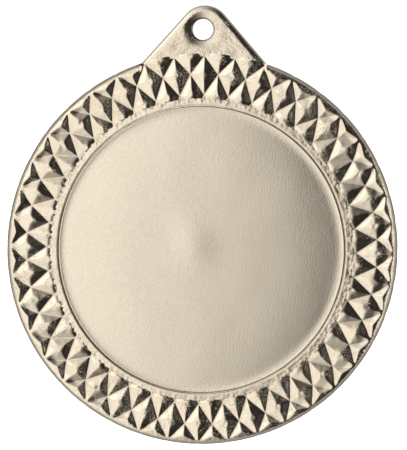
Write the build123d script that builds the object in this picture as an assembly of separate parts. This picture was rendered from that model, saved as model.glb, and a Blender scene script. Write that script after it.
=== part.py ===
"""A blank sports finisher medal with a faceted rim, hanging upright from its ribbon eyelet.

Frame: millimetres, +Z up, the struck face looks along -Y and the medal is symmetric about X = 0.
The origin is on the axis of the eyelet, halfway through the tab.

Every piece is drawn lying on its back, with X to the right, Y towards the tab and Z out of the
face from the plane of the back, and is then turned upright by hang().
"""

from build123d import *
import os
from math import cos, hypot, radians, sin, sqrt

# ---- Driving dimensions, millimetres and degrees ---------------------------------------------

# Medal body: one struck and plated blank
medal_radius = 35.0
groove_height = 2.0  # thickness of the rim at the bottom of the grooves
band_rise = 0.5  # the plain band stands this far above the grooves
band_width = 1.15  # plain band between the centre recess and the facets
edge_bevel = 0.45  # slope round the front edge
back_edge_radius = 0.4
back_recess_radius = 24.0  # shallow plain field on the back
back_recess_depth = 0.3
back_recess_slope = 0.5

# Rim pattern: three staggered rows of four-sided pyramids between crossing grooves
facets_round = 40
facet_height = 0.95  # apex above the groove
edge_facet_height = 0.75  # the outer row is bevelled down towards the edge
groove_width = 0.24
edge_margin = 0.35  # from the outer nodes of the grooves to the edge
inner_margin = 0.7  # from the plain band to the inner nodes
row_split = 0.53  # where the middle nodes lie between the inner and outer ones
edge_ridge_margin = 1.6  # from the highest point of the outer row to the edge

# Centre recess and the pieces in it
disc_radius = 25.65
disc_side_clearance = 0.2  # radial gap between the disc and the recess wall
recess_depth = 1.4  # below the plain band
recess_mouth_bevel = 0.15
pad_thickness = 0.15  # double-sided adhesive pad
pad_inset = 0.8  # from the edge of the disc to the edge of the pad
disc_sink = 0.15  # the lip of the disc lies this far below the plain band
lip_height = 0.3  # the lip stands this far above the field of the disc
lip_width = 0.3
lip_slope = 0.5
lip_bevel = 0.1
field_rise = 0.4  # the field is domed by this much at its middle

# Ribbon tab
tab_thickness = 2.3
tab_tip_radius = 4.6
tab_side_angle = 41.3  # between each straight side and the centre line
tab_root_width = 0.5  # the tab reaches this far inside the edge of the medal
tab_front_radius = 0.6
tab_back_radius = 0.3
eyelet_radius = 1.9
eyelet_offset = 4.3  # from the edge of the medal to the centre of the eyelet
eyelet_front_radius = 0.35
eyelet_back_radius = 0.2

# ---- Sizes that follow ------------------------------------------------------------------------

band_height = groove_height + band_rise
recess_radius = disc_radius + disc_side_clearance
recess_floor = band_height - recess_depth
band_radius = recess_radius + band_width

outer_node_radius = medal_radius - edge_margin
inner_node_radius = band_radius + inner_margin
middle_node_radius = inner_node_radius + row_split * (outer_node_radius - inner_node_radius)
facet_pitch = 360 / facets_round
root_depth = groove_width  # how deep each pyramid is set into the rim

pad_radius = disc_radius - pad_inset
disc_bottom = recess_floor + pad_thickness
lip_top = band_height - disc_sink
field_edge_height = lip_top - lip_height
field_radius = disc_radius - lip_width - lip_slope

eyelet_height = medal_radius + eyelet_offset


def polar(radius, angle, height=0.0):
    """A point from its distance from the centre and its angle from the centre line of the tab."""
    return Vector(radius * sin(radians(angle)), radius * cos(radians(angle)), height)


def turned(outline):
    """The solid that a closed outline of (radius, height) points and arcs makes about the centre."""
    return revolve(make_face(Plane.XZ * outline), Axis.Z)


def hang(shape):
    """Turns a piece from lying on its back to hanging upright, with the eyelet at the origin."""
    return Pos(0, tab_thickness / 2, -eyelet_height) * Rot(90, 0, 0) * shape


# ---- Medal body -------------------------------------------------------------------------------


def pyramid(corners, apex, height):
    """A pyramid on the rim, kept half a groove's width inside the lines between its corners."""
    foot = Vector(apex.X, apex.Y)
    reach = []
    for corner, following in zip(corners, corners[1:] + corners[:1]):
        side = following - corner
        away = foot - corner
        reach.append(abs(side.X * away.Y - side.Y * away.X) / hypot(side.X, side.Y))
    shrink = 1 - groove_width / 2 / (sum(reach) / len(reach))
    base = [foot + (corner - foot) * shrink for corner in corners]
    points = [point + Vector(0, 0, groove_height - root_depth) for point in base]
    points += [point + Vector(0, 0, groove_height) for point in base]
    points.append(foot + Vector(0, 0, groove_height + height))
    return ConvexPolyhedron([tuple(point) for point in points])


def rim_pyramids():
    """The three rows: full pyramids in the middle, and half ones along the band and the edge."""
    half = facet_pitch / 2
    middle_row = pyramid(
        [
            polar(outer_node_radius, 0),
            polar(middle_node_radius, half),
            polar(inner_node_radius, 0),
            polar(middle_node_radius, -half),
        ],
        polar(middle_node_radius, 0),
        facet_height,
    )
    inner_row = pyramid(
        [
            polar(middle_node_radius, half),
            polar(inner_node_radius, facet_pitch),
            polar(band_radius, half),
            polar(inner_node_radius, 0),
        ],
        polar(inner_node_radius, half),
        facet_height,
    )
    outer_row = pyramid(
        [
            polar(middle_node_radius, half),
            polar(outer_node_radius, facet_pitch),
            polar(outer_node_radius, half),
            polar(outer_node_radius, 0),
        ],
        polar(medal_radius - edge_ridge_margin, half),
        edge_facet_height,
    )
    steps = [Rot(0, 0, k * facet_pitch) for k in range(facets_round)]
    return [step * shape for step in steps for shape in (middle_row, inner_row, outer_row)]


def blank():
    """The round blank under the pattern, with its recess, plain band and rounded edges."""
    back_corner = back_edge_radius * (1 - cos(radians(45)))
    outline = Polyline(
        (0, recess_floor),
        (recess_radius, recess_floor),
        (recess_radius, band_height - recess_mouth_bevel),
        (recess_radius + recess_mouth_bevel, band_height),
        (band_radius, band_height),
        (band_radius, groove_height),
        (medal_radius - edge_bevel, groove_height),
        (medal_radius, groove_height - edge_bevel),
        (medal_radius, back_edge_radius),
    )
    outline += ThreePointArc(
        (medal_radius, back_edge_radius),
        (medal_radius - back_corner, back_corner),
        (medal_radius - back_edge_radius, 0),
    )
    outline += Polyline(
        (medal_radius - back_edge_radius, 0),
        (back_recess_radius + back_recess_slope, 0),
        (back_recess_radius, back_recess_depth),
        (0, back_recess_depth),
        (0, recess_floor),
    )
    return turned(outline)


def ribbon_tab():
    """The triangular tab with its rounded tip, rounded edges and eyelet."""
    tip = Vector(0, eyelet_height)
    side_x, side_y = sin(radians(tab_side_angle)), cos(radians(tab_side_angle))
    shoulder = tip + Vector(side_y, side_x) * tab_tip_radius
    side_length = (shoulder.Y - (medal_radius - 2 * tab_tip_radius)) / side_y
    foot = shoulder + Vector(side_x, -side_y) * side_length
    plan = make_face(
        Polyline(
            (shoulder.X, shoulder.Y),
            (foot.X, foot.Y),
            (-foot.X, foot.Y),
            (-shoulder.X, shoulder.Y),
            (shoulder.X, shoulder.Y),
        )
    )
    plan += Pos(0, eyelet_height) * Circle(tab_tip_radius)
    plan -= Circle(medal_radius - tab_root_width)
    tab = extrude(plan, tab_thickness)
    root = medal_radius - tab_root_width
    outer = [e for e in tab.edges() if hypot(e.center().X, e.center().Y) > root + tab_root_width]
    front = [e for e in outer if e.center().Z > tab_thickness - 0.01]
    tab = fillet(front, tab_front_radius)
    outer = [e for e in tab.edges() if hypot(e.center().X, e.center().Y) > root + tab_root_width]
    back = [e for e in outer if e.center().Z < 0.01]
    tab = fillet(back, tab_back_radius)
    tab -= Pos(0, eyelet_height) * Cylinder(eyelet_radius, 3 * tab_thickness)
    rings = tab.edges().filter_by(GeomType.CIRCLE)
    rings = [e for e in rings if abs(e.radius - eyelet_radius) < 0.01]
    tab = fillet([e for e in rings if e.center().Z > tab_thickness / 2], eyelet_front_radius)
    rings = tab.edges().filter_by(GeomType.CIRCLE)
    rings = [e for e in rings if abs(e.radius - eyelet_radius) < 0.01]
    return fillet([e for e in rings if abs(e.center().Z) < 0.01], eyelet_back_radius)


def medal_body():
    return blank() + rim_pyramids() + ribbon_tab()


# ---- Pieces in the recess ---------------------------------------------------------------------


def centre_disc():
    """The satin disc in the recess: a slightly domed field inside a narrow raised lip."""
    outline = Polyline(
        (0, disc_bottom),
        (disc_radius, disc_bottom),
        (disc_radius, lip_top - lip_bevel),
        (disc_radius - lip_bevel, lip_top),
        (disc_radius - lip_width, lip_top),
        (field_radius, field_edge_height),
    )
    dome_radius = (field_radius**2 + field_rise**2) / (2 * field_rise)
    halfway = field_radius / 2
    outline += ThreePointArc(
        (field_radius, field_edge_height),
        (halfway, field_edge_height + field_rise - dome_radius + sqrt(dome_radius**2 - halfway**2)),
        (0, field_edge_height + field_rise),
    )
    outline += Line((0, field_edge_height + field_rise), (0, disc_bottom))
    return turned(outline)


def adhesive_pad():
    """The thin double-sided pad that holds the disc on the floor of the recess."""
    pad = Cylinder(pad_radius, pad_thickness, align=(Align.CENTER, Align.CENTER, Align.MIN))
    return Pos(0, 0, recess_floor) * pad


# ---- Output -----------------------------------------------------------------------------------

pieces = {
    "medal_body": medal_body(),
    "centre_disc": centre_disc(),
    "adhesive_pad": adhesive_pad(),
}

os.makedirs("parts", exist_ok=True)
for name, piece in pieces.items():
    export_step(hang(piece), f"parts/{name}.step")
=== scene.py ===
"""Looks for the sports finisher medal: the struck body and the satin disc as detailed meshes.

Meshes are worked out in millimetres with the medal lying on its back: X to the right, Y from the
centre of the medal towards the tab, Z out of the face from the plane of the back. Angles in the
face run clockwise from the tab's centre line. place() then turns a mesh upright into the frame
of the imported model, in metres.
"""

import math

import bmesh
import bpy
import numpy as np
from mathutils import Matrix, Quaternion, Vector


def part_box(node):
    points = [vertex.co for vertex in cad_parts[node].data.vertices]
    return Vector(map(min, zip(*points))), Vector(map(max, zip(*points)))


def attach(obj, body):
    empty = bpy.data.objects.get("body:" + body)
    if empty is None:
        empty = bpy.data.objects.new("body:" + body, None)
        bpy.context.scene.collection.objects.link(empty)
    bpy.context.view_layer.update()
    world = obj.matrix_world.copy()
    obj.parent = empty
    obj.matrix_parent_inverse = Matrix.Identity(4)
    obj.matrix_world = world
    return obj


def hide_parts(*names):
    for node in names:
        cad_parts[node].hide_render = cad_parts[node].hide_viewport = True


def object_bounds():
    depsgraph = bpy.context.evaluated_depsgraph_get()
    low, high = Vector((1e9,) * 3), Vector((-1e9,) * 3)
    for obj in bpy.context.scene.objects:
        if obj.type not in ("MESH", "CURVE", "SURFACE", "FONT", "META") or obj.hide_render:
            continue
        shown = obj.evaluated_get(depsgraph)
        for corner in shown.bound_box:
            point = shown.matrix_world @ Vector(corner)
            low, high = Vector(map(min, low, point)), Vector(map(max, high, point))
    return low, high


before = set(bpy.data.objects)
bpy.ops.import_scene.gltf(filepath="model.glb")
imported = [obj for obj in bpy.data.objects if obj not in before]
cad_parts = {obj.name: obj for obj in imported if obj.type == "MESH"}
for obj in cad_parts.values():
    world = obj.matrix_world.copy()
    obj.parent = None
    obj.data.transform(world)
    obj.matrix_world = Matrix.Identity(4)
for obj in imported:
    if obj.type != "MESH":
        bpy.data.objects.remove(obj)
cad_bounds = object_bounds()

MM = 0.001
TURN = 2 * math.pi

# ---- Sizes, millimetres -----------------------------------------------------------------------

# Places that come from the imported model
BODY_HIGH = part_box("medal_body")[1]
DISC_LOW, DISC_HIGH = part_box("centre_disc")
CENTRE_HEIGHT = (DISC_LOW.z + DISC_HIGH.z) / 2 / MM
BACK_Y = BODY_HIGH.y / MM
DISC_BOTTOM = BACK_Y - DISC_HIGH.y / MM
EYELET = -CENTRE_HEIGHT

# Rim pattern
MEDAL_RADIUS = 35.0
FACETS_ROUND = 40
PITCH = TURN / FACETS_ROUND
PATTERN_TURN = math.radians(0.60)
GROOVE_HEIGHT = 2.0
OUTER_NODE = 34.65  # where the grooves cross, row by row
MIDDLE_NODE = 31.38
INNER_NODE = 27.7
OUTER_APEX = 2 * OUTER_NODE * math.cos(PITCH / 2) - MIDDLE_NODE  # far nodes of the half pyramids
INNER_APEX = 2 * INNER_NODE * math.cos(PITCH / 2) - MIDDLE_NODE
LANE_WIDTH = 0.22  # the flat bottom of a groove
FACET_SLOPE = 0.55
SLOPE_SPREAD = 0.10  # how far single facets may be steeper or flatter, as a share
SIDES = 4  # of a pyramid
CREASE_ROUND = 0.10  # rounding of the ridges between facets
CREASE_SPREAD = 0.17  # and how it grows away from the grooves
APEX_HEIGHT = 0.63
APEX_ROUND = 0.20
FOOT_ROUND = 0.03
WOBBLE = 0.016  # unevenness of the facets
FINE_WOBBLE = 0.0035
WOBBLE_FROM = 0.9  # it is complete this far from a groove
PATCH_STEPS = 22  # even, so that a pyramid's ridges meet at a point of its grid
TIE_BREAK = 1e-6  # puts points on the border of two pyramids on the same side of it

# Edge
OVAL = 0.12  # added to the edge's radius at this angle, and taken off it a quarter turn away
OVAL_ANGLE = math.radians(43)
EDGE_START = 33.10  # the ridge line of the outer row, where the edge starts to roll over
EDGE_TOP = 2.66
EDGE_DROP = 2.25
EDGE_REACH = 0.08  # the roll-over would end this far past the side
EDGE_UNEVEN = 0.05
EDGE_BLEND = 0.08  # rounding between the pyramids and the roll-over
LANE_RISE = 0.30  # the grooves climb by this much on their way out to the edge
LANE_RISE_FROM = 32.8
LANE_RISE_TO = 34.4
NICK_DEPTH = 0.06  # where a groove runs out over the edge
NICK_WIDTH = 0.5
SHOULDER_STEPS = 12
TAB_SPAN = (math.radians(18.3), math.radians(19.8))  # the tab covers the edge up to here
CLEAR_OF_EDGE = 4.0  # lifts the rounding out of the way there

# Band and recess
BAND_EDGE = 27.02
BAND_HEIGHT = 2.48
BAND_FALL = 0.022  # for each millimetre outwards
BAND_RINGS = (26.85, 26.65, 26.4, 26.2)
BAND_STEP = 0.12  # width of the step from the pattern up to the band
BAND_LEDGE = 0.02  # the top of the step is this much below the band
RAGGED = 0.045  # how far the step wanders in and out where the band is worn
CRUMBS = 0.025  # and up and down
BAND_ROUGH = 0.012
BAND_CALM = (26.1, 26.6)  # the band gets smooth between these radii, going inwards
WORN_SHARE = 0.04  # wear of the best part of the band, beside 1 for the worst
WORN_FROM = -4.0
WORN_TO = 18.0
RECESS_RADIUS = 25.86
RECESS_FLOOR = 1.1
RECESS_ROUND = 0.06
RECESS_FLOOR_RINGS = (20.0, 10.0)
WALL_MIDDLE = 1.8  # a height that the recess wall and the disc's side are divided at

# Back
BACK_ROUND = 0.4
BACK_RINGS = (33.5, 29.5, 25.4)
BACK_FIELD_RADIUS = 24.0
BACK_FIELD_DEPTH = 0.3
BACK_FIELD_SLOPE = 0.9
BACK_FIELD_RINGS = (18.0, 9.0)

# Tab
TIP_RADIUS = 4.45
TAB_CENTRE = np.array([0.37, EYELET - 0.22])  # of the round tip
SIDE_ANGLE = math.radians(48.7)  # from the tip to where the straight sides start
TAB_ROOT = 34.5  # the tab ends here, inside the body
NO_ROOT = 99.0  # for directions that never come to the root
TAB_HEIGHT = 2.25
TAB_EDGE = 1.0
TAB_EDGE_DROP = 0.82
TAB_BACK_ROUND = 0.35
TAB_WOBBLE = 0.007
TAB_DENTS = 0.0045  # towards the root of the tab
DENTS_BY_EYELET = 0.3  # the share of them that is left by the eyelet
DENTS_RISE = (3.0, 5.5)
TAB_POINTS = 260
EYELET_RADIUS = 1.9
EYELET_ROUND = 0.32
EYELET_BACK_ROUND = 0.2
DISH_DEPTH = 0.27
DISH_WIDTH = 0.85

# Disc
DISC_RADIUS = 25.65
DISC_POINTS = 360
DISC_BACK_RINGS = (18.0, 8.0)
FIELD_HEIGHT = 2.46
FIELD_RADIUS = 24.85
FIELD_FALL = 0.18  # from the middle of the field to its edge
FIELD_FALL_POWER = 2.2
EDGE_FALL = 0.125  # a further fall
EDGE_FALL_FROM = 14
EDGE_FALL_WIDTH = 11
LIP_START = 23.4
LIP_RISE = 0.085
LIP_RISE_POWER = 3.2
LIP_CREST = 25.45
LIP_DROP = 0.16
FIELD_WAVE = 0.004
FIELD_FINE_WAVE = 0.0003
CALM_FROM = 23.0  # the field's unevenness fades out between these radii
CALM_TO = 24.8
FIELD_RINGS = np.linspace(0.4, 23.6, 59)
LIP_RINGS = np.linspace(23.8, LIP_CREST, 18)  # closer together, up the lip
MOUND_HEIGHT = 0.062  # a faint bulge beside the middle
MOUND_PLACE = (-1.4, 1.1)
MOUND_HEADING = (0.94, 0.34)  # the way across it
MOUND_WIDTH = 3.1
MOUND_LENGTH = 4.4


# ---- Small numeric helpers --------------------------------------------------------------------


def smooth_min(a, b, width):
    """The smaller of two values, with the corner between them rounded over a width."""
    near = np.maximum(width - np.abs(a - b), 0) / width
    return np.minimum(a, b) - near * near * width / 4


def ramp(x, low, high):
    """0 below low, 1 above high and smooth between."""
    t = np.clip((x - low) / (high - low), 0, 1)
    return t * t * (3 - 2 * t)


def between(x, rise_from, rise_to, fall_from, fall_to):
    """1 between two limits and 0 outside them, smooth at both."""
    return ramp(x, rise_from, rise_to) * (1 - ramp(x, fall_from, fall_to))


def hump(distance, width):
    """1 at no distance, falling away smoothly over a width."""
    return np.exp(-((distance / width) ** 2))


def quarter(steps):
    """Angles spread evenly over a quarter turn, both ends among them."""
    return np.linspace(0, math.pi / 2, steps)


def polar(radius, angle):
    """A plan point from its radius and its angle from the tab's centre line."""
    return np.array([radius * math.sin(angle), radius * math.cos(angle)])


def headings(angle):
    """Plan directions, one for each angle."""
    return np.column_stack([np.sin(angle), np.cos(angle)])


def with_height(plan, z):
    return np.column_stack([plan, np.broadcast_to(z, len(plan))])


def at_radius(plan, radius):
    """The same points moved in or out to a radius."""
    return plan * (radius / np.hypot(plan[:, 0], plan[:, 1]))[:, None]


class Waves:
    """A smooth, repeatable unevenness: many plane waves with lengths between two limits."""

    def __init__(self, seed, shortest, longest, count=40):
        draw = np.random.default_rng(seed)
        length = shortest * (longest / shortest) ** draw.random(count)
        heading = draw.random(count) * TURN
        self.kx = TURN / length * np.cos(heading)
        self.ky = TURN / length * np.sin(heading)
        self.phase = draw.random(count) * TURN
        self.scale = math.sqrt(2 / count)

    def __call__(self, x, y):
        total = np.zeros_like(x)
        for kx, ky, phase in zip(self.kx, self.ky, self.phase):
            total += np.sin(kx * x + ky * y + phase)
        return total * self.scale


SLOPE_GAIN = 1 + SLOPE_SPREAD * np.random.default_rng(7).uniform(-1, 1, (8, FACETS_ROUND))
FACET_WAVES = Waves(11, 1.2, 5.0)
FINE_FACET_WAVES = Waves(12, 0.5, 1.3)
EDGE_WAVES = Waves(13, 0.6, 2.5)
RAGGED_WAVES = Waves(31, 0.3, 1.2)
CRUMB_WAVES = Waves(32, 0.3, 1.2)
BAND_WAVES = Waves(33, 0.5, 3.0)
TAB_WAVES = Waves(41, 2.0, 6.0)
TAB_DENT_WAVES = Waves(42, 0.35, 1.1)
FIELD_WAVES = Waves(51, 9, 26)
FINE_FIELD_WAVES = Waves(52, 1.8, 6)


# ---- Mesh building ----------------------------------------------------------------------------


class Shell:
    """Collects points and faces, then welds the points that coincide."""

    def __init__(self):
        self.points, self.faces, self.count = [], [], 0

    def add(self, points, faces):
        self.points.append(np.asarray(points, float))
        self.faces.extend(tuple(self.count + i for i in face) for face in faces)
        self.count += len(points)

    def rings(self, rings, flip=False):
        """Quads between closed rings that all have the same number of points."""
        n = len(rings[0])
        faces = []
        for row in range(len(rings) - 1):
            for i in range(n):
                j = (i + 1) % n
                quad = (row * n + i, row * n + j, (row + 1) * n + j, (row + 1) * n + i)
                faces.append(quad[::-1] if flip else quad)
        self.add(np.concatenate(rings), faces)

    def cap(self, ring, centre, flip=False):
        """A fan that closes a ring at its centre."""
        n = len(ring)
        faces = [(i, (i + 1) % n, n) for i in range(n)]
        if flip:
            faces = [face[::-1] for face in faces]
        self.add(np.vstack([ring, centre]), faces)

    def turn(self, angle):
        """Turns everything clockwise about the centre, seen from the front."""
        c, s = math.cos(angle), math.sin(angle)
        for points in self.points:
            x, y = points[:, 0].copy(), points[:, 1].copy()
            points[:, 0], points[:, 1] = x * c + y * s, y * c - x * s

    def mesh(self, name, weld=1e-4):
        made = bpy.data.meshes.new(name)
        made.from_pydata(np.concatenate(self.points).tolist(), [], self.faces)
        work = bmesh.new()
        work.from_mesh(made)
        bmesh.ops.remove_doubles(work, verts=work.verts, dist=weld)
        bmesh.ops.recalc_face_normals(work, faces=work.faces)
        work.to_mesh(made)
        work.free()
        return made


def new_object(name, data):
    made = bpy.data.objects.new(name, data)
    bpy.context.scene.collection.objects.link(made)
    return made


def coordinates(mesh):
    """The x, y and z of all points of a mesh."""
    co = np.empty(len(mesh.vertices) * 3)
    mesh.vertices.foreach_get("co", co)
    return co.reshape(-1, 3).T


def place(mesh):
    """Turns a mesh from lying on its back, in millimetres, to hanging upright, in metres."""
    x, y, z = coordinates(mesh)
    upright = np.stack([x, BACK_Y - z, y + CENTRE_HEIGHT], axis=1) * MM
    mesh.vertices.foreach_set("co", upright.ravel())
    mesh.update()


def add_attribute(mesh, name, values):
    layer = mesh.attributes.new(name, "FLOAT", "POINT")
    layer.data.foreach_set("value", np.asarray(values, np.float32))


# ---- Rim pattern ------------------------------------------------------------------------------


def groove_lines():
    """Grooves near one full pyramid, as (from, to, family, step round) in its own sector."""
    lines = []
    for step in (-1, 0, 1):
        outer, inner = polar(OUTER_NODE, step * PITCH), polar(INNER_NODE, step * PITCH)
        for side in (-1, 1):
            if abs(step + side / 2) > 1:
                continue
            turn = step * PITCH + side * PITCH / 2
            family = 0 if side < 0 else 1
            middle = polar(MIDDLE_NODE, turn)
            lines.append((outer, middle, family, step))
            lines.append((inner, middle, family + 2, step))
            lines.append((inner, polar(INNER_APEX, turn), family + 4, step))
            lines.append((outer, polar(OUTER_APEX, turn), family + 6, step))
    return lines


GROOVES = groove_lines()


def tab_share(angle):
    """1 where the tab joins the edge and 0 elsewhere."""
    return 1 - ramp(np.abs(angle + PATTERN_TURN), *TAB_SPAN)


def rim_height(x, y):
    """Height of the faceted rim over plan points, between the band and the edge."""
    angle = np.arctan2(x, y)
    sector = np.floor(angle / PITCH + 0.5 + TIE_BREAK).astype(int)
    turned = angle - sector * PITCH
    radius = np.hypot(x, y)
    px, py = radius * np.sin(turned), radius * np.cos(turned)
    rises = []
    for start, end, family, step in GROOVES:
        along = end - start
        share = ((px - start[0]) * along[0] + (py - start[1]) * along[1]) / (along @ along)
        share = np.clip(share, 0, 1)
        away = np.hypot(px - start[0] - share * along[0], py - start[1] - share * along[1])
        rises.append(away * SLOPE_GAIN[family][(sector + step) % FACETS_ROUND])
    nearest, *others = np.sort(rises, axis=0)[:SIDES]
    rise = nearest
    for other in others:
        rise = smooth_min(rise, other, CREASE_ROUND + CREASE_SPREAD * nearest)
    past = rise - LANE_WIDTH / 2
    climb = FACET_SLOPE * (past + np.sqrt(past * past + FOOT_ROUND**2)) / 2
    climb = smooth_min(climb, APEX_HEIGHT, APEX_ROUND)
    wobble = WOBBLE * FACET_WAVES(x, y) + FINE_WOBBLE * FINE_FACET_WAVES(x, y)
    outward = (1 - tab_share(angle)) * ramp(radius, LANE_RISE_FROM, LANE_RISE_TO)
    floor = GROOVE_HEIGHT + LANE_RISE * outward
    return floor + climb + wobble * ramp(nearest, LANE_WIDTH / 2, WOBBLE_FROM)


def rim_radius(angle):
    """Radius of the trimmed edge, very slightly oval."""
    return MEDAL_RADIUS + OVAL * np.cos(2 * (angle + PATTERN_TURN - OVAL_ANGLE))


def edge_height(x, y):
    """The rounded shoulder from the ridge line of the outer row over to the side."""
    radius = np.hypot(x, y)
    start = EDGE_START + EDGE_UNEVEN * EDGE_WAVES(x, y)
    reach = rim_radius(np.arctan2(x, y)) + EDGE_REACH - start
    over = np.clip((radius - start) / reach, 0, 1)
    inward = np.clip(EDGE_START - radius, 0, None)
    return EDGE_TOP + inward - EDGE_DROP * (1 - np.sqrt(np.maximum(1 - over * over, 0)))


def front_height(x, y):
    """The rim with its rounded edge, left square where the tab joins it."""
    limit = edge_height(x, y) + CLEAR_OF_EDGE * tab_share(np.arctan2(x, y))
    return smooth_min(rim_height(x, y), limit, EDGE_BLEND)


def patch_grid():
    """Places across a pyramid from -1 to 1, close together by the grooves at its sides."""
    half_width = 2.0
    lane = LANE_WIDTH / 2 / half_width
    facet = 1 - 2.2 * lane
    inner = np.linspace(-facet, facet, PATCH_STEPS - 3)
    return np.concatenate([[-1, -(1 - lane)], inner, [1 - lane, 1]])


GRID = patch_grid()


def patch(shell, bottom, right, top, left, part):
    """One pyramid between four nodes. part is whole, or the lower or upper half of it."""
    n = PATCH_STEPS
    s, t = np.meshgrid(GRID, GRID, indexing="ij")
    weights = ((1 - s) * (1 - t), (1 + s) * (1 - t), (1 + s) * (1 + t), (1 - s) * (1 + t))
    corners = (bottom, right, top, left)
    x = sum(w * c[0] for w, c in zip(weights, corners)) / 4
    y = sum(w * c[1] for w, c in zip(weights, corners)) / 4
    index = {}
    points = []
    for i in range(n + 1):
        for j in range(n + 1):
            if (part == "lower" and i + j > n) or (part == "upper" and i + j < n):
                continue
            index[i, j] = len(points)
            points.append((x[i, j], y[i, j]))
    plan = np.array(points)

    # Squares, cut in two along the ridges and where the lower or upper half ends
    faces = []
    for i in range(n):
        for j in range(n):
            square = [(i, j), (i + 1, j), (i + 1, j + 1), (i, j + 1)]
            inside = tuple(index[corner] for corner in square if corner in index)
            if len(inside) == 3:
                faces.append(inside)
            elif len(inside) == 4:
                a, b, c, d = inside
                if i == j:
                    faces += [(a, b, c), (a, c, d)]
                elif i + j == n - 1:
                    faces += [(a, b, d), (b, c, d)]
                else:
                    faces.append(inside)
    shell.add(with_height(plan, front_height(plan[:, 0], plan[:, 1])), faces)


# ---- Medal body -------------------------------------------------------------------------------


def worn_band(x):
    """How rough the band is left along the feet of the pyramids: most on the right."""
    return WORN_SHARE + (1 - WORN_SHARE) * ramp(x, WORN_FROM, WORN_TO)


def chord_ring(node_radius):
    """The points that the half pyramids leave along the straight lines between their nodes."""
    ring = []
    for k in range(FACETS_ROUND):
        start, end = polar(node_radius, k * PITCH), polar(node_radius, (k + 1) * PITCH)
        for s in GRID[:-1]:
            ring.append(start * (1 - s) / 2 + end * (1 + s) / 2)
    return np.array(ring)


def add_pyramids(shell):
    """The full pyramids of the middle row and the half ones along the edge and the band."""
    half = PITCH / 2
    for k in range(FACETS_ROUND):
        turn = k * PITCH
        outer, inner = polar(OUTER_NODE, turn), polar(INNER_NODE, turn)
        outer_next, inner_next = polar(OUTER_NODE, turn + PITCH), polar(INNER_NODE, turn + PITCH)
        before, after = polar(MIDDLE_NODE, turn - half), polar(MIDDLE_NODE, turn + half)
        patch(shell, inner, after, outer, before, "whole")
        patch(shell, after, outer_next, polar(OUTER_APEX, turn + half), outer, "lower")
        patch(shell, polar(INNER_APEX, turn + half), inner_next, after, inner, "upper")


def add_edge_and_back(shell):
    """From the outer nodes over the rounded edge, down the side and across the back."""
    chord = chord_ring(OUTER_NODE)
    angle = np.arctan2(chord[:, 0], chord[:, 1])
    start = np.hypot(chord[:, 0], chord[:, 1])
    from_node = np.abs((angle / PITCH + 0.5) % 1 - 0.5) * PITCH * MEDAL_RADIUS
    rim = rim_radius(angle) - NICK_DEPTH * hump(from_node, NICK_WIDTH) * (1 - tab_share(angle))
    rings = []
    for share in np.sin(quarter(SHOULDER_STEPS)):
        ring = at_radius(chord, start + (rim - start) * share)
        rings.append(with_height(ring, front_height(ring[:, 0], ring[:, 1])))
    edge = rings[-1]
    for share in np.linspace(0, 1, 6)[1:]:
        rings.append(with_height(edge[:, :2], edge[:, 2] + (BACK_ROUND - edge[:, 2]) * share))
    for turn in quarter(6)[1:]:
        inset = BACK_ROUND * (1 - math.cos(turn))
        rings.append(with_height(at_radius(chord, rim - inset), BACK_ROUND * (1 - math.sin(turn))))
    for radius in BACK_RINGS:
        rings.append(with_height(at_radius(chord, radius), 0))
    for share in np.linspace(0, 1, 5):
        radius = BACK_FIELD_RADIUS + BACK_FIELD_SLOPE * (1 - share)
        height = BACK_FIELD_DEPTH * float(ramp(share, 0, 1))
        rings.append(with_height(at_radius(chord, radius), height))
    for radius in BACK_FIELD_RINGS:
        rings.append(with_height(at_radius(chord, radius), BACK_FIELD_DEPTH))
    shell.rings(rings, flip=True)
    shell.cap(rings[-1], (0, 0, BACK_FIELD_DEPTH), flip=True)


def add_band_and_recess(shell):
    """From the inner nodes over the plain band, down the recess wall and across its floor."""
    chord = chord_ring(INNER_NODE)
    start = np.hypot(chord[:, 0], chord[:, 1])
    wear = worn_band(chord[:, 0])
    edge = BAND_EDGE + RAGGED * wear * RAGGED_WAVES(chord[:, 0], chord[:, 1])
    rings = []
    for share in (0, 0.3, 0.6, 0.85, 1):
        ring = at_radius(chord, start + (edge + BAND_STEP - start) * share)
        rings.append(with_height(ring, rim_height(ring[:, 0], ring[:, 1])))
    crumbs = CRUMBS * wear * CRUMB_WAVES(chord[:, 0], chord[:, 1])
    rings.append(with_height(at_radius(chord, edge), BAND_HEIGHT - BAND_LEDGE + crumbs))
    for radius in BAND_RINGS:
        ring = at_radius(chord, radius)
        rough = BAND_ROUGH * BAND_WAVES(ring[:, 0], ring[:, 1])
        fall = BAND_FALL * (radius - RECESS_RADIUS)
        rings.append(with_height(ring, BAND_HEIGHT - fall + rough * ramp(radius, *BAND_CALM)))
    for turn in quarter(6):
        radius = RECESS_RADIUS + RECESS_ROUND * (1 - math.sin(turn))
        height = BAND_HEIGHT - RECESS_ROUND * (1 - math.cos(turn))
        rings.append(with_height(at_radius(chord, radius), height))
    for height in (WALL_MIDDLE, RECESS_FLOOR):
        rings.append(with_height(at_radius(chord, RECESS_RADIUS), height))
    for radius in RECESS_FLOOR_RINGS:
        rings.append(with_height(at_radius(chord, radius), RECESS_FLOOR))
    shell.rings(rings)
    shell.cap(rings[-1], (0, 0, RECESS_FLOOR))


def body_shell():
    """The round body as one closed surface: rim, edge, back, band and recess."""
    shell = Shell()
    add_pyramids(shell)
    add_edge_and_back(shell)
    add_band_and_recess(shell)
    shell.turn(PATTERN_TURN)
    return shell


# ---- Ribbon tab -------------------------------------------------------------------------------


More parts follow.
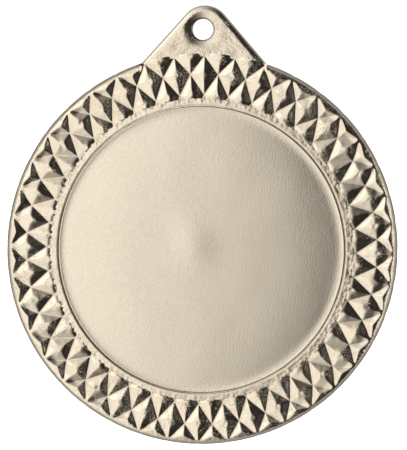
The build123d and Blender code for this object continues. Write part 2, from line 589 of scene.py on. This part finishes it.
def tab_outline(angle, inset=0.0):
    """Points of the tab's outline by angle from the direction of its tip, round its own centre."""
    turn = np.abs((angle + math.pi) % TURN - math.pi)
    side = (TIP_RADIUS - inset) / np.cos(np.clip(turn - SIDE_ANGLE, 0, math.radians(80)))
    centre = np.hypot(*TAB_CENTRE)
    down = centre * np.cos(turn)
    inside = down * down - (centre**2 - TAB_ROOT**2)
    root = -down - np.sqrt(np.maximum(inside, 0))
    root = np.where((down < 0) & (inside > 0), root, NO_ROOT)
    reach = np.minimum(side, root)
    heading = angle + math.atan2(TAB_CENTRE[0], TAB_CENTRE[1])
    return TAB_CENTRE + headings(heading) * reach[:, None]


def tab_front(x, y):
    """The tab's face, dished round the eyelet and a little uneven from polishing."""
    away = np.hypot(x, y - EYELET)
    dish = DISH_DEPTH * hump(away - EYELET_RADIUS, DISH_WIDTH)
    dented = DENTS_BY_EYELET + (1 - DENTS_BY_EYELET) * ramp(away, *DENTS_RISE)
    dents = TAB_DENTS * TAB_DENT_WAVES(x, y) * dented
    return TAB_HEIGHT - dish + (TAB_WOBBLE * TAB_WAVES(x, y) + dents)


def tab_shell():
    """The tab as one closed surface round its eyelet, reaching into the body."""
    angle = np.linspace(0, TURN, TAB_POINTS, endpoint=False)
    heading = headings(angle)
    centre = np.array([0, EYELET])

    def hole(radius):
        return centre + heading * radius

    def face(plan, drop=0.0):
        return with_height(plan, tab_front(plan[:, 0], plan[:, 1]) - drop)

    # Out of the eyelet, across the face and over the rounded edge
    rings = []
    for turn in quarter(9):
        plan = hole(EYELET_RADIUS + EYELET_ROUND * (1 - math.cos(turn)))
        rings.append(face(plan, EYELET_ROUND * (1 - math.sin(turn))))
    inner, outer = hole(EYELET_RADIUS + EYELET_ROUND), tab_outline(angle, TAB_EDGE)
    for share in np.linspace(0, 1, 24)[1:-1]:
        rings.append(face(inner + (outer - inner) * share))
    for turn in quarter(9):
        plan = tab_outline(angle, TAB_EDGE * (1 - math.sin(turn)))
        rings.append(face(plan, TAB_EDGE_DROP * (1 - math.cos(turn))))

    # Down the side, across the back and up into the eyelet again
    outer = tab_outline(angle)
    for height in (1.1, 0.7, TAB_BACK_ROUND):
        rings.append(with_height(outer, height))
    for turn in quarter(5)[1:]:
        plan = tab_outline(angle, TAB_BACK_ROUND * (1 - math.cos(turn)))
        rings.append(with_height(plan, TAB_BACK_ROUND * (1 - math.sin(turn))))
    inner = hole(EYELET_RADIUS + EYELET_BACK_ROUND)
    outer = tab_outline(angle, TAB_BACK_ROUND)
    for share in np.linspace(1, 0, 8)[1:-1]:
        rings.append(with_height(inner + (outer - inner) * share, 0))
    for turn in quarter(5):
        plan = hole(EYELET_RADIUS + EYELET_BACK_ROUND * (1 - math.sin(turn)))
        rings.append(with_height(plan, EYELET_BACK_ROUND * (1 - math.cos(turn))))
    rings.append(rings[0])
    shell = Shell()
    shell.rings(rings, flip=True)
    return shell


# ---- Centre disc ------------------------------------------------------------------------------


def disc_height(radius):
    """Profile of the disc: a pillow that falls away near its edge and a fillet up to the lip."""
    pillow = FIELD_FALL * (radius / FIELD_RADIUS) ** FIELD_FALL_POWER
    edge = EDGE_FALL * (max(radius - EDGE_FALL_FROM, 0) / EDGE_FALL_WIDTH) ** 2
    up_lip = max(radius - LIP_START, 0) / (LIP_CREST - LIP_START)
    return FIELD_HEIGHT - pillow - edge + LIP_RISE * up_lip**LIP_RISE_POWER


def mound(x, y):
    """A faint oval bulge beside the middle of the field."""
    right, up = x - MOUND_PLACE[0], y - MOUND_PLACE[1]
    across = right * MOUND_HEADING[0] + up * MOUND_HEADING[1]
    along = up * MOUND_HEADING[0] - right * MOUND_HEADING[1]
    return MOUND_HEIGHT * np.exp(-((across / MOUND_WIDTH) ** 2) - (along / MOUND_LENGTH) ** 2)


def disc_shell():
    """The disc as one closed surface."""
    heading = headings(np.linspace(0, TURN, DISC_POINTS, endpoint=False))

    def surface(radius):
        plan = heading * radius
        x, y = plan[:, 0], plan[:, 1]
        calm = 1 - ramp(radius, CALM_FROM, CALM_TO)
        wave = FIELD_WAVE * FIELD_WAVES(x, y) + FIELD_FINE_WAVE * FINE_FIELD_WAVES(x, y)
        return with_height(plan, disc_height(radius) + (wave + mound(x, y)) * calm)

    rings = [surface(radius) for radius in (*FIELD_RINGS, *LIP_RINGS)]
    crest = rings[-1][:, 2]
    for turn in quarter(8)[1:]:
        radius = LIP_CREST + (DISC_RADIUS - LIP_CREST) * math.sin(turn)
        rings.append(with_height(heading * radius, crest - LIP_DROP * (1 - math.cos(turn))))
    for height in (WALL_MIDDLE, DISC_BOTTOM):
        rings.append(with_height(heading * DISC_RADIUS, height))
    for radius in DISC_BACK_RINGS:
        rings.append(with_height(heading * radius, DISC_BOTTOM))
    shell = Shell()
    shell.rings(rings, flip=True)
    shell.cap(rings[0], (0, 0, rings[0][:, 2].mean()))
    shell.cap(rings[-1], (0, 0, DISC_BOTTOM), flip=True)
    return shell


# ---- Nodes ------------------------------------------------------------------------------------


class Nodes:
    """A short way to write a node tree."""

    def __init__(self, tree):
        self.tree = tree
        tree.nodes.clear()

    def new(self, kind):
        return self.tree.nodes.new("ShaderNode" + kind)

    def link(self, source, target):
        self.tree.links.new(source, target)

    def feed(self, socket, value):
        """Links a socket to another one, or sets its value."""
        if isinstance(value, bpy.types.NodeSocket):
            self.link(value, socket)
        else:
            socket.default_value = value

    def maths(self, operation, *values):
        node = self.new("Math")
        node.operation = operation
        for socket, value in zip(node.inputs, values):
            self.feed(socket, value)
        return node.outputs[0]

    def plus(self, a, b):
        return self.maths("ADD", a, b)

    def minus(self, a, b):
        return self.maths("SUBTRACT", a, b)

    def times(self, a, b):
        return self.maths("MULTIPLY", a, b)

    def curve(self, value, stops):
        """Remaps 0..1 through (position, level) stops."""
        node = self.new("ValToRGB")
        node.color_ramp.interpolation = "LINEAR"
        self.link(value, node.inputs["Fac"])
        marks = node.color_ramp.elements
        while len(marks) < len(stops):
            marks.new(0.5)
        for mark, (position, level) in zip(marks, stops):
            mark.position = position
            mark.color = (level, level, level, 1)
        return node.outputs["Color"]

    def smooth(self, value, low, high):
        """0 at low and 1 at high, whichever of them is the larger."""
        node = self.new("MapRange")
        node.interpolation_type = "SMOOTHSTEP"
        node.inputs["From Min"].default_value = low
        node.inputs["From Max"].default_value = high
        self.link(value, node.inputs["Value"])
        return node.outputs[0]

    def blend(self, share, a, b):
        """a where share is 0 and b where it is 1."""
        return self.plus(a, self.times(share, self.minus(b, a)))


class Surface(Nodes):
    """The nodes of one material. Lengths are in millimetres on the piece itself."""

    def __init__(self, name):
        self.material = bpy.data.materials.new(name)
        self.material.use_nodes = True
        super().__init__(self.material.node_tree)
        self.shader = self.new("BsdfPrincipled")
        self.link(self.shader.outputs[0], self.new("OutputMaterial").inputs[0])
        self.place = self.new("TexCoord").outputs["Object"]

    def give(self, name, value):
        """Feeds one of the shader's own sockets."""
        self.feed(self.shader.inputs[name], value)

    def along(self, angle, stretch):
        """Coordinates drawn out along a direction in the face, by its angle from upright."""
        turned = self.new("Mapping")
        self.link(self.place, turned.inputs["Vector"])
        turned.inputs["Rotation"].default_value = (0, angle, 0)
        drawn = self.new("Mapping")
        self.link(turned.outputs[0], drawn.inputs["Vector"])
        drawn.inputs["Scale"].default_value = (1, 1, 1 / stretch)
        return drawn.outputs[0]

    def noise(self, size, detail=3.0, rough=0.55, vector=None, warp=0.0):
        node = self.new("TexNoise")
        self.link(vector or self.place, node.inputs["Vector"])
        node.inputs["Scale"].default_value = 1 / (size * MM)
        node.inputs["Detail"].default_value = detail
        node.inputs["Roughness"].default_value = rough
        node.inputs["Distortion"].default_value = warp
        return node.outputs["Fac"]

    def mix(self, share, a, b):
        """Colour a where share is 0 and b where it is 1."""
        node = self.new("Mix")
        node.data_type = "RGBA"
        self.feed(node.inputs["Factor"], share)
        self.feed(node.inputs["A"], a)
        self.feed(node.inputs["B"], b)
        return node.outputs["Result"]

    def attribute(self, name):
        node = self.new("Attribute")
        node.attribute_name = name
        return node.outputs["Fac"]

    def bump(self, height, depth, normal=None):
        node = self.new("Bump")
        node.inputs["Distance"].default_value = depth * MM
        self.link(height, node.inputs["Height"])
        if normal:
            self.link(normal, node.inputs["Normal"])
        return node.outputs[0]


# ---- Materials --------------------------------------------------------------------------------

PLATE = (0.93, 0.81, 0.635, 1)
PLATE_CLOUD = (0.905, 0.775, 0.60, 1)
PLATE_GROOVE_DARK = (0.62, 0.50, 0.36, 1)
PLATE_RUBBED = (0.96, 0.86, 0.70, 1)
PLATE_PAINTED_WALL_SHADE = (0.17, 0.135, 0.10, 1)
PLATE_MOUTH = (0.20, 0.16, 0.12, 1)
POLISH_ANGLE = math.radians(24)
POLISH_STRETCH = 6.0
SATIN = (0.97, 0.855, 0.685, 1)
SATIN_CLOUD = (0.95, 0.835, 0.665, 1)
SATIN_GRAIN = (0.82, 0.70, 0.54, 1)
SATIN_PAINTED_WALL_SHADE = (0.42, 0.34, 0.25, 1)
GRAIN_ANGLE = math.radians(-42)
GRAIN_STRETCH = 2.0
GRAIN_SIZE = 0.16
FOAM_CELL = (0.78, 0.77, 0.73, 1)
FOAM = (0.86, 0.86, 0.83, 1)
WHITE = (1, 1, 1, 1)


def polished_plate():
    """Bright champagne-nickel plating: polish marks, pits, darker grooves, rubbed crests, painted wall
    shade.
    """
    m = Surface("polished champagne nickel")
    cloud = m.noise(4.0, detail=4.0)
    rough_place = m.attribute("rough")

    # Colour: cloudy, darker in the grooves, rubbed bright on the crests, painted shade on the
    # upright walls and darker round the mouth of the eyelet
    # darker in the grooves of the rim, broken up by a cloudy noise
    groove_dark = m.times(m.attribute("groove"), m.curve(m.noise(0.9), [(0.3, 0.2), (0.7, 1.0)]))
    colour = m.mix(m.curve(cloud, [(0.35, 0.0), (0.65, 1.0)]), PLATE, PLATE_CLOUD)
    colour = m.mix(m.times(groove_dark, 0.30), colour, PLATE_GROOVE_DARK)
    colour = m.mix(m.times(m.attribute("crest"), 0.5), colour, PLATE_RUBBED)
    # painted shade: the upright walls of the body, its side and the eyelet's wall, are darkened
    colour = m.mix(m.times(m.attribute("side"), 0.9), colour, PLATE_PAINTED_WALL_SHADE)
    colour = m.mix(m.times(m.attribute("mouth"), 0.8), colour, PLATE_MOUTH)
    m.give("Base Color", colour)
    m.give("Metallic", 1.0)

    # Gloss: scuffed, and duller where the surface is left rough
    scuff = m.noise(0.35, detail=5.0, rough=0.65)
    gloss = m.curve(m.plus(m.times(cloud, 0.5), m.times(scuff, 0.5)), [(0.3, 0.07), (0.7, 0.15)])
    m.give("Roughness", m.plus(gloss, m.times(rough_place, 0.16)))

    # Relief: soft dents, polishing marks, pits in the rough places and scattered flecks
    marks = m.noise(0.12, detail=4.0, rough=0.6, vector=m.along(POLISH_ANGLE, POLISH_STRETCH), warp=0.3)
    pits = m.times(m.noise(0.16, rough=0.6), m.plus(rough_place, 0.12))
    fleck = m.curve(m.noise(0.22, rough=0.6, warp=0.6), [(0.57, 0.0), (0.65, 1.0)])
    fleck_place = m.curve(m.noise(2.6, detail=2.0), [(0.45, 0.0), (0.62, 1.0)])
    normal = m.bump(m.noise(0.9), 0.012)
    normal = m.bump(marks, 0.0040, normal)
    normal = m.bump(pits, 0.020, normal)
    m.give("Normal", m.bump(m.times(fleck, fleck_place), 0.028, normal))
    return m.material


def satin_plate():
    """The same plating left satin, with a fine diagonal grain."""
    m = Surface("satin champagne nickel")
    cloud = m.noise(7.0)
    hatch = m.along(GRAIN_ANGLE, GRAIN_STRETCH)

    # Colour: cloudy, with the grain, and painted shade on the upright side
    grain_tone = m.curve(m.noise(0.17, detail=2.0, rough=0.6, vector=hatch), [(0.3, 0.0), (0.7, 1.0)])
    colour = m.mix(m.curve(cloud, [(0.3, 0.0), (0.7, 1.0)]), SATIN, SATIN_CLOUD)
    colour = m.mix(m.times(grain_tone, 0.30), colour, SATIN_GRAIN)
    # painted shade: the disc's upright side is darkened
    m.give("Base Color", m.mix(m.times(m.attribute("side"), 0.7), colour, SATIN_PAINTED_WALL_SHADE))
    m.give("Metallic", 1.0)
    m.give("Roughness", m.curve(m.noise(0.5, detail=4.0), [(0.3, 0.17), (0.7, 0.23)]))

    # Relief: the grain, a finer even one and a few shallow pits
    pits = m.curve(m.noise(0.7, detail=5.0, rough=0.75), [(0.22, 0.0), (0.30, 1.0)])
    normal = m.bump(m.noise(GRAIN_SIZE, detail=0.0, rough=0.5, vector=hatch), 0.0062)
    normal = m.bump(m.noise(GRAIN_SIZE, detail=0.0, rough=0.5), 0.0040, normal)
    m.give("Normal", m.bump(pits, 0.004, normal))
    return m.material


def adhesive_foam():
    """Thin white foam tape, hidden under the disc."""
    m = Surface("white foam tape")
    cells = m.noise(0.25, detail=4.0, rough=0.7)
    m.give("Base Color", m.mix(m.curve(cells, [(0.3, 0.0), (0.7, 1.0)]), FOAM_CELL, FOAM))
    m.give("Roughness", m.curve(cells, [(0.2, 0.75), (0.8, 0.95)]))
    m.give("Normal", m.bump(cells, 0.03))
    return m.material


def white_floor():
    """A plain white sheet, lit from below as on a light table."""
    m = Surface("white light table")
    m.give("Base Color", m.curve(m.noise(30.0, detail=2.0), [(0.3, 0.97), (0.7, 1.0)]))
    m.give("Roughness", 0.9)
    m.give("Emission Color", WHITE)
    m.give("Emission Strength", 0.95)
    return m.material


# ---- Pieces -----------------------------------------------------------------------------------

SHARP_ANGLE = math.radians(38)
RIM_ZONE = (27.0, 27.3, 34.6, 34.9)  # radii
BAND_ZONE = (26.5, 26.9, 27.1, 27.7)
MOUTH_ZONE = (1.80, 1.92, 2.06, 2.24)  # distances from the centre of the eyelet
DENTED_ZONE = (2.4, 5.5)
GROOVE_DEPTHS = (0.0, 0.14)  # heights over the grooves
CREST_HEIGHTS = (0.70, 0.90)
WALL_NORMALS = (0.28, 0.70)  # how far a normal points out of the face
RIM_FRONT = 1.9  # heights that only the front reaches
MOUTH_FRONT = 1.4
TAB_FRONT = 1.0
TAB_FROM = 34  # the tab lies above this
DENTED_ROUGH = 0.5  # how rough the dented tab is, beside 1 for the band at its worst


def joined(name, first, second):
    """The union of two closed meshes as one new mesh."""
    a, b = new_object(name + "_a", first), new_object(name + "_b", second)
    union = a.modifiers.new("union", "BOOLEAN")
    union.operation, union.solver, union.object = "UNION", "MANIFOLD", b
    bpy.context.view_layer.update()
    made = bpy.data.meshes.new_from_object(a.evaluated_get(bpy.context.evaluated_depsgraph_get()))
    for piece in (a, b):
        bpy.data.objects.remove(piece)
    made.name = name
    return made


def wall_shade_share(mesh):
    """1 on walls that stand upright from the back, where the materials paint shade, and 0 on the front
    and the back.
    """
    normals = np.empty(len(mesh.vertices) * 3, np.float32)
    mesh.vertex_normals.foreach_get("vector", normals)
    return 1 - ramp(np.abs(normals.reshape(-1, 3)[:, 2]), *WALL_NORMALS)


def mark_body(mesh):
    """Marks the places of the body that its material treats differently."""
    x, y, z = coordinates(mesh)
    radius = np.hypot(x, y)
    depth = z - GROOVE_HEIGHT
    from_eyelet = np.hypot(x, y - EYELET)
    on_rim = between(radius, *RIM_ZONE) * (z > RIM_FRONT)
    by_band = between(radius, *BAND_ZONE) * worn_band(x)
    dented = (1 - ramp(from_eyelet, *DENTED_ZONE)) * (y > TAB_FROM)
    rough = by_band + DENTED_ROUGH * dented * (z > TAB_FRONT)
    # the 'side' attribute marks where the plating paints shade on upright walls
    add_attribute(mesh, "side", wall_shade_share(mesh))
    add_attribute(mesh, "groove", on_rim * (1 - ramp(depth, *GROOVE_DEPTHS)))
    add_attribute(mesh, "mouth", between(from_eyelet, *MOUTH_ZONE) * (z > MOUTH_FRONT))
    add_attribute(mesh, "crest", on_rim * ramp(depth, *CREST_HEIGHTS))
    add_attribute(mesh, "rough", np.clip(rough, 0, 1))


def finish_piece(name, mesh, material, node):
    mesh.materials.clear()
    mesh.materials.append(material)
    mesh.polygons.foreach_set("use_smooth", [True] * len(mesh.polygons))
    mesh.set_sharp_from_angle(angle=SHARP_ANGLE)
    place(mesh)
    piece = new_object(name, mesh)
    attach(piece, "root")
    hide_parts(node)


def make_body():
    mesh = joined("struck_body", body_shell().mesh("body"), tab_shell().mesh("tab"))
    mark_body(mesh)
    finish_piece("struck_body", mesh, polished_plate(), "medal_body")


def make_disc():
    mesh = disc_shell().mesh("satin_disc")
    # marks the disc's upright side for painted shade
    add_attribute(mesh, "side", wall_shade_share(mesh))
    finish_piece("satin_disc", mesh, satin_plate(), "centre_disc")


def make_pad():
    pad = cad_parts["adhesive_pad"]
    pad.data.materials.clear()
    pad.data.materials.append(adhesive_foam())


# ---- Studio, metres ---------------------------------------------------------------------------

CAMERA_DISTANCE = 0.50
CAMERA_RIGHT = math.radians(3.5)
CAMERA_UP = math.radians(3.0)
CAMERA_ROLL = math.radians(0.4)
SENSOR_SIZE = 36.0  # millimetres, along the taller side of the picture
FRAME_HEIGHT = 0.08036  # what the picture spans from top to bottom, at the medal
AIM_RIGHT = 0.00037  # from the centre of the medal
AIM_UP = 0.00444

# Brightness of the room in front of the medal, by the side that a direction leans to, from the
# left (-1) to the right (1)
ROOM = [
    (-1.0, 0.97), (-0.87, 1.02), (-0.75, 1.04), (-0.60, 1.01), (-0.34, 0.82), (-0.15, 0.56),
    (0.0, 0.37), (0.17, 0.245), (0.34, 0.15), (0.64, 0.060), (0.87, 0.044), (1.0, 0.075),
]
ROOM_CENTRE = (0.006, 0.035)
ROOM_SOFTNESS = 0.105
SHADE_RISE = (0.10, 0.30)  # the shade right of the middle, by how far a direction points right
SHADE_END = (0.80, 0.55)
SHADE_DEPTH = 0.5
LOW_SHADE_RISE = (0.0, 0.25)
LOW_SHADE_DOWN = (-0.35, -0.75)
LOW_SHADE_DEPTH = 0.35
SIDE_LIGHT = Vector((0.96, 0.10, -0.08)).normalized()
SIDE_LIGHT_EDGE = (0.80, 0.93)
SIDE_LIGHT_LEVEL = 1.05
BEHIND_EDGE = (-0.12, 0.30)
BEHIND_LEVEL = 0.42

FLOOR_GAP = 0.012
FLOOR_REACH = 3.0
LAMP_PLACE = (-0.9, -0.5, 0.5)
LAMP_SIZE = 0.8
LAMP_POWER = 0.6


def make_camera():
    data = bpy.data.cameras.new("camera")
    data.sensor_width = SENSOR_SIZE
    data.lens = SENSOR_SIZE * CAMERA_DISTANCE / FRAME_HEIGHT
    data.clip_start, data.clip_end = 0.01, 20
    camera = new_object("camera", data)
    groove_y = BACK_Y * MM - GROOVE_HEIGHT * MM
    aim = Vector((AIM_RIGHT, groove_y, CENTRE_HEIGHT * MM + AIM_UP))
    back = Vector((
        math.sin(CAMERA_RIGHT) * math.cos(CAMERA_UP),
        -math.cos(CAMERA_RIGHT) * math.cos(CAMERA_UP),
        math.sin(CAMERA_UP),
    ))
    camera.location = aim + back * CAMERA_DISTANCE
    camera.rotation_mode = "QUATERNION"
    look = (-back).to_track_quat("-Z", "Y")
    camera.rotation_quaternion = look @ Quaternion((0, 0, 1), CAMERA_ROLL)
    bpy.context.scene.camera = camera


def room_level(w):
    """Brightness of the light tent: bright on the left, dark on the right, with a pale side light."""
    split = w.new("SeparateXYZ")
    w.link(w.new("TexCoord").outputs["Generated"], split.inputs[0])
    x, y, z = split.outputs

    # The side that a direction leans to, soft near the middle
    across = w.minus(x, ROOM_CENTRE[0])
    up = w.minus(z, ROOM_CENTRE[1])
    squares = w.plus(w.times(across, across), w.times(up, up))
    reach = w.maths("SQRT", w.plus(squares, ROOM_SOFTNESS**2))
    lean = w.maths("MULTIPLY_ADD", w.maths("DIVIDE", across, reach), 0.5, 0.5)
    level = w.curve(lean, [((side + 1) / 2, tone) for side, tone in ROOM])

    # Darker between the middle and the right, and again below that
    shade = w.times(w.smooth(x, *SHADE_RISE), w.smooth(x, *SHADE_END))
    level = w.times(level, w.minus(1.0, w.times(shade, SHADE_DEPTH)))
    low = w.times(w.smooth(x, *LOW_SHADE_RISE), w.smooth(z, *LOW_SHADE_DOWN))
    level = w.times(level, w.minus(1.0, w.times(low, LOW_SHADE_DEPTH)))

    # The pale side light, and the room behind the medal
    facing = w.times(x, SIDE_LIGHT.x)
    facing = w.plus(facing, w.times(y, SIDE_LIGHT.y))
    facing = w.plus(facing, w.times(z, SIDE_LIGHT.z))
    level = w.blend(w.smooth(facing, *SIDE_LIGHT_EDGE), level, SIDE_LIGHT_LEVEL)
    return w.blend(w.smooth(y, *BEHIND_EDGE), level, BEHIND_LEVEL)


def make_room():
    """The light tent round the medal, which the camera itself sees as a plain white backdrop."""
    world = bpy.data.worlds.new("studio")
    bpy.context.scene.world = world
    world.use_nodes = True
    w = Nodes(world.node_tree)
    lit = w.new("Background")
    w.link(room_level(w), lit.inputs["Color"])
    seen = w.new("Background")
    seen.inputs["Color"].default_value = WHITE
    choose = w.new("MixShader")
    w.link(w.new("LightPath").outputs["Is Camera Ray"], choose.inputs["Fac"])
    w.link(lit.outputs[0], choose.inputs[1])
    w.link(seen.outputs[0], choose.inputs[2])
    w.link(choose.outputs[0], w.new("OutputWorld").inputs["Surface"])


def make_floor():
    """The white sheet under the medal, which takes no part in lighting it."""
    level = cad_bounds[0].z - FLOOR_GAP
    sides = ((-1, -1), (1, -1), (1, 1), (-1, 1))
    corners = [(x * FLOOR_REACH, y * FLOOR_REACH, level) for x, y in sides]
    mesh = bpy.data.meshes.new("floor")
    mesh.from_pydata(corners, [], [(0, 1, 2, 3)])
    mesh.materials.append(white_floor())
    floor = new_object("floor", mesh)
    floor.visible_glossy = False
    floor.visible_diffuse = False


def make_lamp():
    data = bpy.data.lights.new("soft_box", "AREA")
    data.shape = "RECTANGLE"
    data.size, data.size_y = LAMP_SIZE, LAMP_SIZE
    data.energy = LAMP_POWER
    lamp = new_object("soft_box", data)
    lamp.location = LAMP_PLACE
    lamp.rotation_mode = "QUATERNION"
    towards = Vector((0, 0, CENTRE_HEIGHT * MM)) - lamp.location
    lamp.rotation_quaternion = towards.to_track_quat("-Z", "Y")


def set_view():
    """Shows the colours as they are."""
    settings = bpy.context.scene.view_settings
    settings.view_transform = "Standard"
    settings.look = "None"
    settings.exposure = 0.0
    settings.gamma = 1.0


make_camera()
make_room()
make_lamp()
make_floor()
make_body()
make_disc()
make_pad()
set_view()
